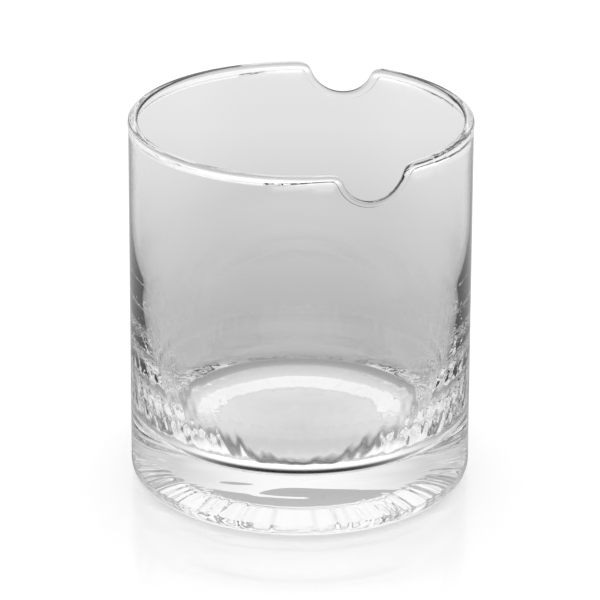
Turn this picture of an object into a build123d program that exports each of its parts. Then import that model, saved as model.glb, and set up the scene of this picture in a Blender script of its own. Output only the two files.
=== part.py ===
import os
from math import cos, radians, sin, sqrt, tan

from build123d import *

# Whisky tumbler with a cigar rest, one piece of clear pressed glass.
# Z is the axis of the glass, which stands on z = 0. Two notches in the rim lie on one straight
# chord beside the axis, parallel to Y, and a cigar laid in both of them crosses the mouth.
# All lengths are in millimetres.

# Outside of the body
glass_height = 95.1
rim_radius = 42.5
foot_spread = 0.3
foot_edge_radius = 4.1

# Thickness of the glass, from the rim down to the solid base
upper_wall = 2.1
lower_wall = 3.4
fluted_wall = 4.8
thick_wall = 6.5
base_thickness = 14.1

# Where the walls between rim and heel are measured, as shares of the depth of the cavity
upper_wall_share = 0.55
lower_wall_share = 0.345
fluted_wall_share = 0.2
thick_wall_share = 0.115

# Round heel of the cavity, which leads from the edge of its flat floor, this far inside the foot,
# up into the leaning wall
floor_inset = 14.1
heel_radius = 6.0
heel_slope = 70.0

# Flutes pressed into the heel, deepest where it meets the wall, which fade out on the way up
flute_count = 30
flute_depth = 0.6
heel_depth_shares = (0, 0.3, 0.7, 1)
thick_wall_depth_share = 0.6
fluted_wall_depth_share = 0.3

# Flat ring that the glass stands on, and inside it the punt, a shallow hollow with a sloping edge
bearing_width = 7.7
punt_depth = 2.9
punt_slope = 20.0
punt_round_radius = 5.9

# Cigar rest: a round notch with eased shoulders, cut twice by one straight chord
rest_offset = 13.7
rest_depth = 7.6
rest_radius = 7.5
rest_shoulder_radius = 4.5

# Fire polish round the rim and the notches: both edges cut back by this share of the wall, which
# leaves the half of an octagon in place of a half round
fire_polish_share = 0.29

# One overrun for all cuts
overrun = 5.0

os.makedirs("parts", exist_ok=True)

foot_radius = rim_radius + foot_spread
floor_radius = foot_radius - floor_inset
cavity_depth = glass_height - base_thickness


# Radius of the outside wall, which narrows evenly from foot to rim
def outer_radius_at(height):
    return foot_radius + (rim_radius - foot_radius) * height / glass_height


# Radius and height of the inside wall, by a share of the cavity's depth and the thickness there
def wall_point(share, thickness):
    height = base_thickness + cavity_depth * share
    return (outer_radius_at(height) - thickness, height)


# Radius and height of the heel where it has reached a slope
def heel_point(slope):
    turn = radians(slope)
    return (floor_radius + heel_radius * sin(turn), base_thickness + heel_radius * (1 - cos(turn)))


inner_rim = wall_point(1, upper_wall)
upper_point = wall_point(upper_wall_share, upper_wall)

bearing_outer_radius = foot_radius - foot_edge_radius
bearing_inner_radius = bearing_outer_radius - bearing_width
punt_turn = radians(punt_slope)
punt_round_run = punt_round_radius * sin(punt_turn)
punt_round_rise = punt_round_radius * (1 - cos(punt_turn))
punt_slope_run = (punt_depth - 2 * punt_round_rise) / tan(punt_turn)
punt_roof_radius = bearing_inner_radius - 2 * punt_round_run - punt_slope_run

# Tumbler: the section down to the start of the flutes, turned round the axis
with BuildPart() as tumbler:
    with BuildSketch(Plane.XZ):
        with BuildLine():
            punt_roof = Line((0, punt_depth), (punt_roof_radius, punt_depth))
            punt_shoulder = JernArc(punt_roof @ 1, (1, 0), punt_round_radius, -punt_slope)
            punt_side = Line(punt_shoulder @ 1, (bearing_inner_radius - punt_round_run, punt_round_rise))
            punt_edge = JernArc(punt_side @ 1, punt_side % 1, punt_round_radius, punt_slope)
            bearing_ring = Line(punt_edge @ 1, (bearing_outer_radius, 0))
            foot_edge = JernArc(bearing_ring @ 1, (1, 0), foot_edge_radius, 90)
            outer_wall = Line(foot_edge @ 1, (rim_radius, glass_height))
            rim = Line(outer_wall @ 1, inner_rim)
            inner_wall = Line(rim @ 1, upper_point)
            cavity_end = Line(inner_wall @ 1, (0, upper_point[1]))
            Line(cavity_end @ 1, punt_roof @ 0)
        make_face()
    revolve(axis=Axis.Z)

# Lower cavity: a loft through outlines of thirty flutes each, up the round heel and on to where
# the wall is plain again
flute_turn = 360 / flute_count
heel_steps = len(heel_depth_shares) - 1
fluted_rings = [
    (heel_point(heel_slope * i / heel_steps), share) for i, share in enumerate(heel_depth_shares)
] + [
    (wall_point(thick_wall_share, thick_wall), thick_wall_depth_share),
    (wall_point(fluted_wall_share, fluted_wall), fluted_wall_depth_share),
    (wall_point(lower_wall_share, lower_wall), 0),
    (upper_point, 0),
]
fluted_outlines = []
for (radius, height), depth_share in fluted_rings:
    ridge = Vector(radius, 0, height)
    hollow = Vector(radius + flute_depth * depth_share, 0, height).rotate(Axis.Z, flute_turn / 2)
    flute = ThreePointArc(ridge, hollow, ridge.rotate(Axis.Z, flute_turn))
    fluted_outlines.append(Wire([flute.rotate(Axis.Z, i * flute_turn) for i in range(flute_count)]))
lower_cavity = Solid.make_loft(fluted_outlines, ruled=True)

# Outline of the notch: a round for the cigar between two shoulders that meet the rim's plane
rest_floor = glass_height - rest_depth
round_height = rest_floor + rest_radius
shoulder_height = glass_height - rest_shoulder_radius
centre_distance = rest_radius + rest_shoulder_radius
half_opening = sqrt(centre_distance**2 - (round_height - shoulder_height) ** 2)
round_share = rest_radius / centre_distance
round_end = (half_opening * round_share, round_height - (round_height - shoulder_height) * round_share)

with tumbler:
    add(lower_cavity, mode=Mode.SUBTRACT)

    with BuildSketch(Plane(origin=(rest_offset, 0, 0), x_dir=(1, 0, 0), z_dir=(0, -1, 0))):
        with BuildLine():
            ThreePointArc((-round_end[0], round_end[1]), (0, rest_floor), round_end)
            shoulder = RadiusArc(round_end, (half_opening, glass_height), rest_shoulder_radius)
            mirror(shoulder, about=Plane.YZ)
            Polyline(
                (half_opening, glass_height),
                (half_opening, glass_height + overrun),
                (-half_opening, glass_height + overrun),
                (-half_opening, glass_height),
            )
        make_face()
    extrude(amount=foot_radius + overrun, both=True, mode=Mode.SUBTRACT)

    # The two largest faces are the outside and inside walls, and what they have in common
    # with the rim and the notches are the edges that fire polish takes away
    walls = tumbler.faces().sort_by(SortBy.AREA)[-2:]
    rim_edges = walls.edges().filter_by_position(Axis.Z, rest_floor - upper_wall, glass_height)
    chamfer(rim_edges, upper_wall * fire_polish_share)

tumbler.part.label = "tumbler"
export_step(tumbler.part, "parts/tumbler.step")
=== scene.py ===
# A whisky tumbler with a cigar rest, one piece of clear pressed glass, on a white table
import math

import bpy
from mathutils import Matrix, Vector


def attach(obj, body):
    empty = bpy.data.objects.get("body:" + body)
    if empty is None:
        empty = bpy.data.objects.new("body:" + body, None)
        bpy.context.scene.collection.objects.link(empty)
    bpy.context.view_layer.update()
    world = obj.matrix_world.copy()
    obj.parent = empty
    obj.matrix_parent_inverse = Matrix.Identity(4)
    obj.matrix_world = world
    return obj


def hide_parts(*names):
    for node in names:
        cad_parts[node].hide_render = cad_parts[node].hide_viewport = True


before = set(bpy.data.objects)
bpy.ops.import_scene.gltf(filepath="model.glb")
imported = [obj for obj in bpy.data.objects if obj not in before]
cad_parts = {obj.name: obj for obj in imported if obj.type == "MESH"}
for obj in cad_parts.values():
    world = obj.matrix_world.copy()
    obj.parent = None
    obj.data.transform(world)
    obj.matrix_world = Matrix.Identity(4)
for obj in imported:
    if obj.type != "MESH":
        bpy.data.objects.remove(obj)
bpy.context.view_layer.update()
scene = bpy.context.scene
mm = 0.001
print("frame loaded")


def linearColour(hexText):
    made = []
    for i in (0, 2, 4):
        c = int(hexText[i : i + 2], 16) / 255
        made.append(c / 12.92 if c <= 0.04045 else ((c + 0.055) / 1.055) ** 2.4)
    return (*made, 1.0)


# Adds one node with its settings, and links what feeds it. A socket goes by its name or its number:
# a Mix node takes its two vectors at 4 and 5 and gives the result at 1.
def addNode(tree, kind, settings={}, links={}):
    node = tree.nodes.new(kind)
    for name, value in settings.items():
        if isinstance(name, int) or name in node.inputs:
            node.inputs[name].default_value = value
        else:
            setattr(node, name, value)
    for name, source in links.items():
        tree.links.new(source, node.inputs[name])
    return node


def deselectAll():
    if bpy.context.object and bpy.context.object.mode != "OBJECT":
        bpy.ops.object.mode_set(mode="OBJECT")
    bpy.ops.object.select_all(action="DESELECT")


# The tumbler, in millimetres: heights from the table, and radii from its axis
tumblerSizes = {
    "height": 94.9,
    "rimRadius": 42.5,
    "footRadius": 42.8,
    "footEdge": 4.1,
    "rimThickness": 2.55,
    "rimRound": 0.75,
    "lipStart": 3,      # this far under the rim's corners the outside stops being straight
    "lipProud": 0.16,   # how far the lip swells outside
    "lipInside": 0.72,  # and how far inside
    "floorHeight": 13.2,
    "floorRadius": 26.9,
    "heelRadius": 8.0,
    "heelSlope": 69.0,
    "bearingRadius": 31.0,
    "puntRadius": 21.0,
    "puntSlope": 20.0,
    "puntRounds": (4.0, 7.75),
}

# The rim's lip: how far under its corners, and the share of the swelling that is reached there
lipShares = [(2.2, 0.0), (1.9, 0.02), (1.6, 0.08), (1.2, 0.3), (0.8, 0.55), (0.4, 0.8), (0.1, 0.97),
             (0.0, 1.0)]

# The wall's thickness at heights on its inside
wallSizes = [(79, 1.85), (63, 2.1), (54.6, 2.55), (46.4, 3.05), (38, 3.7), (34, 4.2), (30, 4.85), (26, 5.75),
             (22.5, 6.85)]

# Steps round the axis and along each stretch of the half section, and how near points are joined
meshSteps = {
    "round": 432,
    "roof": 14,
    "roofRound": 6,
    "slope": 5,
    "bearingRound": 5,
    "bearing": 4,
    "footEdge": 12,
    "outside": 28,
    "lip": 3,
    "corner": 5,
    "rimTop": 4,
    "inside": 4,
    "heel": 26,
    "floor": 14,
    "joined": 0.01,
}

# Swells as depth, waves across and along in radians for each millimetre, and start. They fade out
# from a share of the flat face's radius, and move what lies this near to its height.
swellSizes = {
    "floor": [(0.06, 0.31, 0.12, 0.4), (0.05, -0.16, 0.42, 1.9), (0.02, 0.55, -0.37, 3.1)],
    "roof": [(0.06, 0.22, 0.33, 2.2), (0.05, -0.41, 0.19, 0.7), (0.02, 0.12, -0.71, 4.0)],
    "fadeShare": 0.7,
    "near": 0.1,
}

# Rays pressed into the sloped ring under the base, as count and depth, the radii between which they
# rise and fade, and the height under which they act
raySizes = {"rays": [(30, 0.05), (47, 0.03), (71, 0.02)], "rise": (19, 24), "fade": (33, 38), "top": 3}

# Flutes pressed into the heel, and finer ripples as count, depth and turn for each millimetre up
fluteSizes = {
    "count": 30,
    "start": 16.5,
    "full": 21,
    "heelDepth": 0.14,
    "wallDepth": 0.05,
    "wallFrom": 24,
    "top": 42,
    "skin": 1.5,  # the outside, this deep, is left alone
    "ripples": [(43, 0.032, 0.006), (67, 0.026, -0.009), (97, 0.018, 0.0075)],
}

# The cigar rest: a round notch with eased shoulders, cut twice along one chord parallel to Y
restSizes = {
    "offset": 13.7,
    "depth": 7.6,
    "radius": 7.7,
    "shoulder": 3.2,
    "blend": 0.4,     # distance between the five points whose mean softens the outline
    "edge": 1.4,      # this much under the rim follows the notch as it is
    "reach": 26,      # and below that, down to here, the rows ease back to level
    "along": 26,      # half width of what moves
    "ease": 4,        # how strongly the rows leave the notch at right angles to it
    "margin": 4,      # how far below the reach the wall is listed
    "wallStep": 0.005,   # height between the entries of that list
    "rounding": 0.001,   # keeps the widest line itself in the list
}


def outerRadius(height):
    t = tumblerSizes
    return t["footRadius"] + (t["rimRadius"] - t["footRadius"]) * height / t["height"]


def arcPoints(centre, radius, start, end, steps):
    turns = [math.radians(start + (end - start) * i / steps) for i in range(1, steps + 1)]
    return [(centre[0] + radius * math.cos(a), centre[1] + radius * math.sin(a)) for a in turns]


def linePoints(start, end, steps):
    return [tuple(s + (e - s) * i / steps for s, e in zip(start, end)) for i in range(1, steps + 1)]


# A smooth curve through points, with a few more between each two
def smoothPoints(points, steps):
    made = []
    for i in range(len(points) - 1):
        p, a, b, q = points[max(i - 1, 0)], points[i], points[i + 1], points[min(i + 2, len(points) - 1)]
        for k in range(1, steps + 1):
            t = k / steps
            weights = (-t + 2 * t**2 - t**3, 2 - 5 * t**2 + 3 * t**3, t + 4 * t**2 - 3 * t**3, t**3 - t**2)
            made.append(tuple(sum(w * v[j] for w, v in zip(weights, (p, a, b, q))) / 2 for j in (0, 1)))
    return made


# The heel's round, from the edge of the flat floor up to the wall
def heelPoints():
    t = tumblerSizes
    edge = (t["floorRadius"], t["floorHeight"])
    centre = (edge[0], edge[1] + t["heelRadius"])
    return [edge] + arcPoints(centre, t["heelRadius"], -90, t["heelSlope"] - 90, meshSteps["heel"])


# The punt's lower round, from the bearing ring to the slope, and the height of its roof
def puntRise():
    t = tumblerSizes
    slope = math.radians(t["puntSlope"])
    lower, upper = t["puntRounds"]
    rise = arcPoints((t["bearingRadius"], lower), lower, 270, 270 - t["puntSlope"], meshSteps["bearingRound"])
    run = rise[-1][0] - t["puntRadius"] - upper * math.sin(slope)
    return rise, rise[-1][1] + run * math.tan(slope) + upper * (1 - math.cos(slope))


# Half section of the glass: from the middle of the punt, round the foot, up the outside,
# over the rim and down the inside to the middle of the floor
def halfSection():
    t, n = tumblerSizes, meshSteps
    rise, roof = puntRise()
    upper = t["puntRounds"][1]
    section = [(0.0, roof)]
    section += linePoints(section[-1], (t["puntRadius"], roof), n["roof"])
    section += arcPoints((t["puntRadius"], roof - upper), upper, 90, 90 - t["puntSlope"], n["roofRound"])
    section += linePoints(section[-1], rise[-1], n["slope"])
    section += rise[-2::-1] + [(t["bearingRadius"], 0.0)]
    edge = t["footEdge"]
    flatEnd = t["footRadius"] - edge
    section += linePoints(section[-1], (flatEnd, 0.0), n["bearing"])
    section += arcPoints((flatEnd, edge), edge, -90, 0, n["footEdge"])
    corner = t["rimRound"]
    top = t["height"] - corner
    plainTop = top - t["lipStart"]
    section += linePoints(section[-1], (outerRadius(plainTop), plainTop), n["outside"])
    lip = [(outerRadius(top - h) + t["lipProud"] * share, top - h) for h, share in lipShares]
    section += smoothPoints([section[-1]] + lip, n["lip"])
    section += arcPoints((section[-1][0] - corner, top), corner, 0, 90, n["corner"])
    flatInside = section[-1][0] - t["rimThickness"] + 2 * corner
    section += linePoints(section[-1], (flatInside, t["height"]), n["rimTop"])
    section += arcPoints((section[-1][0], top), corner, 90, 180, n["corner"])
    wall = [(section[-1][0] + t["lipInside"] * (1 - share), top - h) for h, share in lipShares[::-1]]
    wall += [(outerRadius(h) - thick, h) for h, thick in wallSizes]
    heel = heelPoints()
    section += smoothPoints(wall + [heel[-1]], n["inside"])
    section += heel[-2::-1]
    section += linePoints(section[-1], (0.0, t["floorHeight"]), n["floor"])
    return section


# A point is drawn out into the half section, and a lathe turns that round the axis
def turnTumbler():
    deselectAll()
    section = halfSection()
    bpy.ops.mesh.primitive_plane_add(size=mm, location=(section[0][0] * mm, 0, section[0][1] * mm))
    body = bpy.context.object
    body.name = "tumblerGlass"
    bpy.ops.object.transform_apply(location=True)
    bpy.ops.object.mode_set(mode="EDIT")
    bpy.ops.mesh.select_all(action="SELECT")
    bpy.ops.mesh.merge(type="CENTER")
    for a, b in zip(section, section[1:]):
        step = ((b[0] - a[0]) * mm, 0, (b[1] - a[1]) * mm)
        bpy.ops.mesh.extrude_region_move(TRANSFORM_OT_translate={"value": step})
    bpy.ops.object.mode_set(mode="OBJECT")
    lathe = body.modifiers.new("lathe", "SCREW")
    lathe.steps = lathe.render_steps = meshSteps["round"]
    lathe.use_merge_vertices = True
    lathe.merge_threshold = meshSteps["joined"] * mm
    bpy.ops.object.modifier_apply(modifier="lathe")
    bpy.ops.object.mode_set(mode="EDIT")
    bpy.ops.mesh.select_all(action="SELECT")
    bpy.ops.mesh.remove_doubles(threshold=meshSteps["joined"] * mm)
    bpy.ops.mesh.normals_make_consistent(inside=False)
    bpy.ops.object.mode_set(mode="OBJECT")
    print("tumbler turned:", len(section), "points in its section")
    return body


def smoothStep(value, start, end):
    t = min(max((value - start) / (end - start), 0.0), 1.0)
    return t * t * (3 - 2 * t)


# The mould leaves slow swells on the floor and on the punt's roof
def rollBase(body):
    t, s = tumblerSizes, swellSizes
    faces = [(t["floorHeight"], t["floorRadius"], s["floor"]), (puntRise()[1], t["puntRadius"], s["roof"])]
    for v in body.data.vertices:
        x, y, z = (c / mm for c in v.co)
        r = math.hypot(x, y)
        for height, reach, swells in faces:
            if abs(z - height) < s["near"] and r < reach:
                depth = sum(deep * math.sin(x * wx + y * wy + start) for deep, wx, wy, start in swells)
                v.co.z += depth * (1 - smoothStep(r, reach * s["fadeShare"], reach)) * mm


# Under the base the rays rise from the sloped ring and fade out on the bearing ring
def pressRays(body):
    s = raySizes
    for v in body.data.vertices:
        x, y, z = (c / mm for c in v.co)
        r = math.hypot(x, y)
        if z > s["top"] or r < s["rise"][0] or r > s["fade"][1]:
            continue
        turn = math.atan2(y, x)
        depth = sum(deep * (1 + math.sin(count * turn)) for count, deep in s["rays"])
        v.co.z += depth * smoothStep(r, *s["rise"]) * (1 - smoothStep(r, *s["fade"])) * mm


# Each flute scoops the cavity's wall outwards, most at the heel
def pressFlutes(body):
    f = fluteSizes
    heelTop = heelPoints()[-1][1]
    for v in body.data.vertices:
        x, y, z = (c / mm for c in v.co)
        r = math.hypot(x, y)
        if not f["start"] < z < f["top"] or r > outerRadius(z) - f["skin"]:
            continue
        turn = math.atan2(y, x)
        ends = smoothStep(z, f["start"], f["full"]) * (1 - smoothStep(z, f["wallFrom"], f["top"]))
        heel = (f["heelDepth"] - f["wallDepth"]) * (1 - smoothStep(z, heelTop, f["wallFrom"]))
        depth = (f["wallDepth"] + heel) * (0.5 - 0.5 * math.cos(turn * f["count"]))
        for count, deep, twist in f["ripples"]:
            depth += deep * math.sin(count * (turn + twist * z))
        v.co.x += depth * ends * mm * x / r
        v.co.y += depth * ends * mm * y / r


# Half width of the notch, and where its round meets a shoulder
def restShape():
    s = restSizes
    half = math.sqrt((s["radius"] + s["shoulder"]) ** 2 - (s["radius"] - s["depth"] + s["shoulder"]) ** 2)
    turn = math.asin(half / (s["radius"] + s["shoulder"]))
    return half, turn


# The point on the notched rim by the length along it from the middle of the notch,
# as across, height against the rim's plane, and the slope's angle
def restPoint(length):
    s = restSizes
    half, turn = restShape()
    roundLength, shoulderLength = s["radius"] * turn, s["shoulder"] * turn
    side = math.copysign(1, length)
    length = abs(length)
    if length < roundLength:
        a = length / s["radius"]
        height = s["radius"] - s["depth"] - s["radius"] * math.cos(a)
        return side * s["radius"] * math.sin(a), height, side * a
    if length < roundLength + shoulderLength:
        a = (roundLength + shoulderLength - length) / s["shoulder"]
        return side * (half - s["shoulder"] * math.sin(a)), -s["shoulder"] * (1 - math.cos(a)), side * a
    return side * (half + length - roundLength - shoulderLength), 0.0, 0.0


# Middle and half thickness of the wall at a height, measured from the plain outer cone;
# above the widest line of the rim they stay as they are there
def wallAt(height, outside, inside):
    offsets = []
    for side in (outside, inside):
        below = max((p for p in side if p[1] <= height), key=lambda p: p[1], default=side[0])
        above = min((p for p in side if p[1] >= height), key=lambda p: p[1], default=below)
        share = (height - below[1]) / (above[1] - below[1]) if above[1] > below[1] else 0
        offsets.append(below[0] + (above[0] - below[0]) * share)
    return (offsets[0] + offsets[1]) / 2, (offsets[0] - offsets[1]) / 2


# The same, read between the entries of a finely spaced list
def readWall(walls, height, low, step):
    place = min(max((height - low) / step, 0), len(walls) - 1)
    entry = min(int(place), len(walls) - 2)
    return [a + (b - a) * (place - entry) for a, b in zip(walls[entry], walls[entry + 1])]


# The rim is drawn down into the notch, its edge kept round, and the rows below ease back to level.
# The rim's lip stays level and ends where the notch cuts it.
def shapeRest(body):
    t, s = tumblerSizes, restSizes
    section = halfSection()
    middle = max(range(len(section)), key=lambda i: section[i][1])
    widest = t["height"] - t["rimRound"] + s["rounding"]
    low, step = t["height"] - s["reach"] - s["margin"], s["wallStep"]
    outside, inside = ([(r - outerRadius(z), z) for r, z in side if low - s["margin"] < z <= widest]
                       for side in (section[:middle], section[middle:]))
    entries = int((s["reach"] + s["margin"]) / step) + 1
    walls = [wallAt(low + i * step, outside, inside) for i in range(entries)]
    half, turn = restShape()
    stretch = (s["along"] + (s["radius"] + s["shoulder"]) * turn - half) / s["along"]
    for v in body.data.vertices:
        x, y, z = (c / mm for c in v.co)
        below = t["height"] - z
        across = x - s["offset"]
        if below > s["reach"] or abs(across) > s["along"]:
            continue
        centre, half0 = readWall(walls, z, low, step)
        share = (math.hypot(x, y) - outerRadius(z) - centre) / half0
        places = [restPoint(across * stretch + i * s["blend"]) for i in (-2, -1, 0, 1, 2)]
        railX, railZ, slope = (sum(values) / len(places) for values in zip(*places))
        inward = (math.sin(slope), -math.cos(slope))
        depth = min(below, s["edge"])
        newX, newZ = railX + inward[0] * depth, railZ + inward[1] * depth
        if below > s["edge"]:
            pull = s["reach"] - s["edge"]
            u = (below - s["edge"]) / pull
            h0, h1 = 2 * u**3 - 3 * u**2 + 1, u**3 - 2 * u**2 + u
            h2, h3 = 3 * u**2 - 2 * u**3, u**3 - u**2
            ease = s["ease"] + (pull - s["ease"]) * smoothStep(abs(across), s["along"] / 2, s["along"])
            newX = h0 * newX + h1 * inward[0] * ease + h2 * across
            newZ = h0 * newZ + h1 * inward[1] * ease - h2 * s["reach"] - h3 * pull
        newX, newZ = s["offset"] + newX, t["height"] + newZ
        centre, half1 = readWall(walls, newZ, low, step)
        radius = outerRadius(newZ) + centre + half1 * share
        newY = math.copysign(math.sqrt(max(radius * radius - newX * newX, 0.0)), y)
        v.co = (newX * mm, newY * mm, newZ * mm)


tumbler = turnTumbler()
rollBase(tumbler)
pressRays(tumbler)
pressFlutes(tumbler)
shapeRest(tumbler)
bpy.ops.object.shade_smooth()
print("tumbler shaped:", len(tumbler.data.polygons), "faces")


# Waves of the glass in millimetres, and how strongly they show
glassSizes = {"waveLength": 9, "waveDepth": 0.05, "waveStrength": 0.1}


# Soda-lime glass, pressed in a mould and fire polished: colourless and clear, with the slow
# waves that the mould leaves, which make the bands in the thick base tremble
def makeGlass():
    material = bpy.data.materials.new("pressedSodaLimeGlass")
    material.use_nodes = True
    tree = material.node_tree
    shader = tree.nodes["Principled BSDF"]
    for name, value in {
        "Base Color": (1, 1, 1, 1),
        "Transmission Weight": 1.0,
        "IOR": 1.52,
        "Roughness": 0.0,
    }.items():
        shader.inputs[name].default_value = value
    place = addNode(tree, "ShaderNodeTexCoord")
    g = glassSizes
    waves = addNode(tree, "ShaderNodeTexNoise", {"Scale": 1 / (g["waveLength"] * mm), "Detail": 1.0},
                    {"Vector": place.outputs["Object"]})
    bump = addNode(tree, "ShaderNodeBump", {"Strength": g["waveStrength"], "Distance": g["waveDepth"] * mm},
                   {"Height": waves.outputs["Fac"]})
    tree.links.new(bump.outputs["Normal"], shader.inputs["Normal"])
    return material


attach(tumbler, "root")
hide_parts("tumbler")
tumbler.data.materials.clear()
tumbler.data.materials.append(makeGlass())


# The stage: a glossy white table in a light room. A sheet on the table that glows with painted shade and
# light, and dark flags low in the room, beside the camera, show in the glass alone and give it its greys and
# dark lines.
stageSizes = {
    "tableHalf": 2000,
    "tableDrop": 0.3,
    "tableRoughness": 0.08,
    "tableGlow": 0.3,
    "sheetHalf": 600,
    "sheetDrop": 0.15,
    "back": (0.0915, 0.9958, 0),  # the direction from the camera to behind the glass
    "sheetTurn": (-0.95, 0.1),    # how far round the sheet goes from its front to its back values
    "flagTop": (0.5, 0.67),       # sines of the heights in the room where the flags end
    "lightTurns": 12,
}

# Painted shade and light on the sheet, by the distance from the glass's axis in millimetres: behind the glass
# a mid grey painted shade, lighter far off; before it a black painted shadow under the near heel, then a
# white painted light ring, then nearly black painted shade
paintedLightBehind = [(0, 0.6), (30, 0.8), (44, 0.3), (50, 0.5), (80, 0.5), (250, 0.8), (600, 1.0)]
paintedLightBefore = [(0, 0.6), (22, 0.7), (25, 0.0), (32, 0.0), (36, 1.2), (60, 1.2), (70, 0.1), (600, 0.6)]
# Brightness of the room by direction, from -1 at the camera to 1 behind the glass: a dark flag each
# side of the camera, then evenly lighter to white at the back
roomBelow = [(-1, 1.0), (-0.75, 0.1), (-0.4, 0.1), (0.8, 0.7), (1, 1.0)]
roomAbove = [(-1, 0.9), (0, 1.0)]


# Brightness from a curve through pairs of position and value
def addCurve(tree, pairs, source):
    start, end = pairs[0][0], pairs[-1][0]
    place = addNode(tree, "ShaderNodeMapRange", {"From Min": start, "From Max": end}, {"Value": source})
    ramp = addNode(tree, "ShaderNodeValToRGB", {}, {"Fac": place.outputs["Result"]})
    elements = ramp.color_ramp.elements
    while len(elements) < len(pairs):
        elements.new(0.5)
    top = max(value for _, value in pairs)
    for i, (position, value) in enumerate(pairs):
        elements[i].position = (position - start) / (end - start)
        elements[i].color = (value / top, value / top, value / top, 1)
    level = addNode(tree, "ShaderNodeVectorMath", {"operation": "SCALE", "Scale": top},
                    {"Vector": ramp.outputs["Color"]})
    return level.outputs["Vector"]


# A smooth step from 0 to 1 while the source goes from the first of two values to the second
def addStep(tree, ends, source):
    settings = {"From Min": ends[0], "From Max": ends[1], "interpolation_type": "SMOOTHSTEP"}
    return addNode(tree, "ShaderNodeMapRange", settings, {"Value": source}).outputs["Result"]


# How far round a place or direction lies, from -1 at the camera to 1 behind the glass
def addRound(tree, source):
    flat = addNode(tree, "ShaderNodeVectorMath", {"operation": "MULTIPLY", 1: (1, 1, 0)}, {0: source})
    way = addNode(tree, "ShaderNodeVectorMath", {"operation": "NORMALIZE"}, {0: flat.outputs["Vector"]})
    turned = addNode(tree, "ShaderNodeVectorMath", {"operation": "DOT_PRODUCT", 1: stageSizes["back"]},
                     {0: way.outputs["Vector"]})
    return turned.outputs["Value"]


# 1 for what the camera sees, straight or in a reflection or through glass, and 0 for other light
def addSeen(tree, names):
    rays = addNode(tree, "ShaderNodeLightPath")
    seen = rays.outputs[names[0]]
    for name in names[1:]:
        either = addNode(tree, "ShaderNodeMath", {"operation": "MAXIMUM"}, {0: seen, 1: rays.outputs[name]})
        seen = either.outputs["Value"]
    return seen


def layPlane(name, half, drop, material):
    deselectAll()
    bpy.ops.mesh.primitive_plane_add(size=2 * half * mm, location=(0, 0, -drop * mm))
    bpy.ops.object.transform_apply(location=True)
    plane = bpy.context.object
    plane.name = name
    plane.data.materials.append(material)
    return plane


# White laminate, glossy from its press: it takes the shadow and a faint reflection of the glass,
# and a little light of its own brings it up to white where nothing shades it
def makeLaminate():
    material = bpy.data.materials.new("whiteLaminate")
    material.use_nodes = True
    tree = material.node_tree
    shader = tree.nodes["Principled BSDF"]
    shader.inputs["Base Color"].default_value = linearColour("F8F8F8")
    shader.inputs["Roughness"].default_value = stageSizes["tableRoughness"]
    shader.inputs["Emission Color"].default_value = (1, 1, 1, 1)
    seen = addSeen(tree, ["Is Camera Ray", "Is Glossy Ray", "Is Transmission Ray"])
    glow = addNode(tree, "ShaderNodeMath", {"operation": "MULTIPLY", 1: stageSizes["tableGlow"]}, {0: seen})
    tree.links.new(glow.outputs["Value"], shader.inputs["Emission Strength"])
    return material


# A sheet that glows with painted light and shade in rings, which gives the clear glass its greys: a painted
# shadow under the near heel and painted light round it. Its underside is clear, so that the table still
# mirrors the glass.
def makePaintedLightSheet():
    material = bpy.data.materials.new("paintedShadeAndLightSheet")
    material.use_nodes = True
    material.cycles.emission_sampling = "NONE"
    tree = material.node_tree
    tree.nodes.remove(tree.nodes["Principled BSDF"])
    place = addNode(tree, "ShaderNodeTexCoord")
    inMm = addNode(tree, "ShaderNodeVectorMath", {"operation": "SCALE", "Scale": 1 / mm},
                   {"Vector": place.outputs["Object"]})
    radius = addNode(tree, "ShaderNodeVectorMath", {"operation": "LENGTH"},
                     {"Vector": inMm.outputs["Vector"]})
    turn = addStep(tree, stageSizes["sheetTurn"], addRound(tree, place.outputs["Object"]))
    before = addCurve(tree, paintedLightBefore, radius.outputs["Value"])
    behind = addCurve(tree, paintedLightBehind, radius.outputs["Value"])
    colour = addNode(tree, "ShaderNodeMix", {"data_type": "VECTOR"}, {"Factor": turn, 4: before, 5: behind})
    # painted light and shade: this glow stands in for the shaded and lit table seen through the glass
    front = addNode(tree, "ShaderNodeEmission", {}, {"Color": colour.outputs[1]})
    clear = addNode(tree, "ShaderNodeBsdfTransparent")
    side = addNode(tree, "ShaderNodeNewGeometry")
    both = addNode(tree, "ShaderNodeMixShader", {}, {"Fac": side.outputs["Backfacing"]})
    tree.links.new(front.outputs["Emission"], both.inputs[1])
    tree.links.new(clear.outputs["BSDF"], both.inputs[2])
    tree.links.new(both.outputs["Shader"], tree.nodes["Material Output"].inputs["Surface"])
    return material


# The light room, white where the camera looks straight at it
def makeRoom():
    world = bpy.data.worlds.new("lightRoom")
    scene.world = world
    world.use_nodes = True
    tree = world.node_tree
    place = addNode(tree, "ShaderNodeTexCoord")
    height = addNode(tree, "ShaderNodeSeparateXYZ", {}, {"Vector": place.outputs["Generated"]})
    upwards = addStep(tree, stageSizes["flagTop"], height.outputs["Z"])
    turned = addRound(tree, place.outputs["Generated"])
    below, above = addCurve(tree, roomBelow, turned), addCurve(tree, roomAbove, turned)
    room = addNode(tree, "ShaderNodeMix", {"data_type": "VECTOR"}, {"Factor": upwards, 4: below, 5: above})
    seen = addSeen(tree, ["Is Camera Ray"])
    whole = addNode(tree, "ShaderNodeMix", {"data_type": "VECTOR", 5: (1, 1, 1)},
                    {"Factor": seen, 4: room.outputs[1]})
    tree.links.new(whole.outputs[1], tree.nodes["Background"].inputs["Color"])


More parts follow.
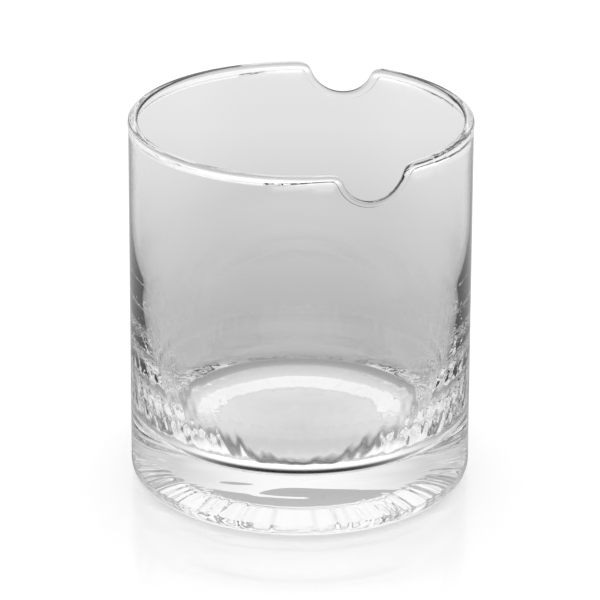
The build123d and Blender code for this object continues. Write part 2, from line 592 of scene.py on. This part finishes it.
makeRoom()
layPlane("whiteTable", stageSizes["tableHalf"], stageSizes["tableDrop"], makeLaminate())
# The sheet's glow is painted shade and light, seen only through the glass and in its reflections
sheet = layPlane("paintedShadeAndLightPlane", stageSizes["sheetHalf"], stageSizes["sheetDrop"], makePaintedLightSheet())
sheet.visible_camera = sheet.visible_diffuse = sheet.visible_shadow = False
# Light turns often inside thick glass. What is still turning after this many goes dark, as light
# that is piped along a wall does, and that draws the rim's dark line and the dark sides.
turns = stageSizes["lightTurns"]
scene.cycles.max_bounces = scene.cycles.transmission_bounces = scene.cycles.glossy_bounces = turns
print("stage set")

# The camera stands where the photograph's did, fitted to the outline of the rim, the sides and the
# base, with the azimuth turned until the notches lay right
cameraPlace = {
    "distance": 938.4,     # in millimetres
    "elevation": 22.458,   # in degrees, as the azimuth
    "azimuth": -5.25,
    "focalPixels": 3745.9,
    "imagePixels": 600,
    "pan": 0.0000965,      # in radians, as the tilt and the roll
    "tilt": -0.0012772,
    "roll": -0.003896,
    "sensorWidth": 36,     # in millimetres
    "clip": (0.01, 20),    # in metres
}


def placeCamera():
    c = cameraPlace
    camera = bpy.data.objects.new("camera", bpy.data.cameras.new("camera"))
    scene.collection.objects.link(camera)
    scene.camera = camera
    e, a = math.radians(c["elevation"]), math.radians(c["azimuth"])
    back = Vector((math.sin(a) * math.cos(e), -math.cos(a) * math.cos(e), math.sin(e)))
    forward, right = -back, Vector((math.cos(a), math.sin(a), 0))
    up = right.cross(forward)
    turn = Matrix.Rotation(c["pan"], 3, up)
    forward, right = turn @ forward, turn @ right
    turn = Matrix.Rotation(c["tilt"], 3, right)
    forward, up = turn @ forward, turn @ up
    turn = Matrix.Rotation(c["roll"], 3, forward)
    right, up = turn @ right, turn @ up
    place = Matrix((right, up, -forward)).transposed().to_4x4()
    place.translation = Vector((0, 0, tumblerSizes["height"] / 2 * mm)) + back * c["distance"] * mm
    camera.matrix_world = place
    camera.data.sensor_width = c["sensorWidth"]
    camera.data.lens = c["focalPixels"] / c["imagePixels"] * c["sensorWidth"]
    camera.data.clip_start, camera.data.clip_end = c["clip"]


placeCamera()
scene.view_settings.view_transform = "Standard"
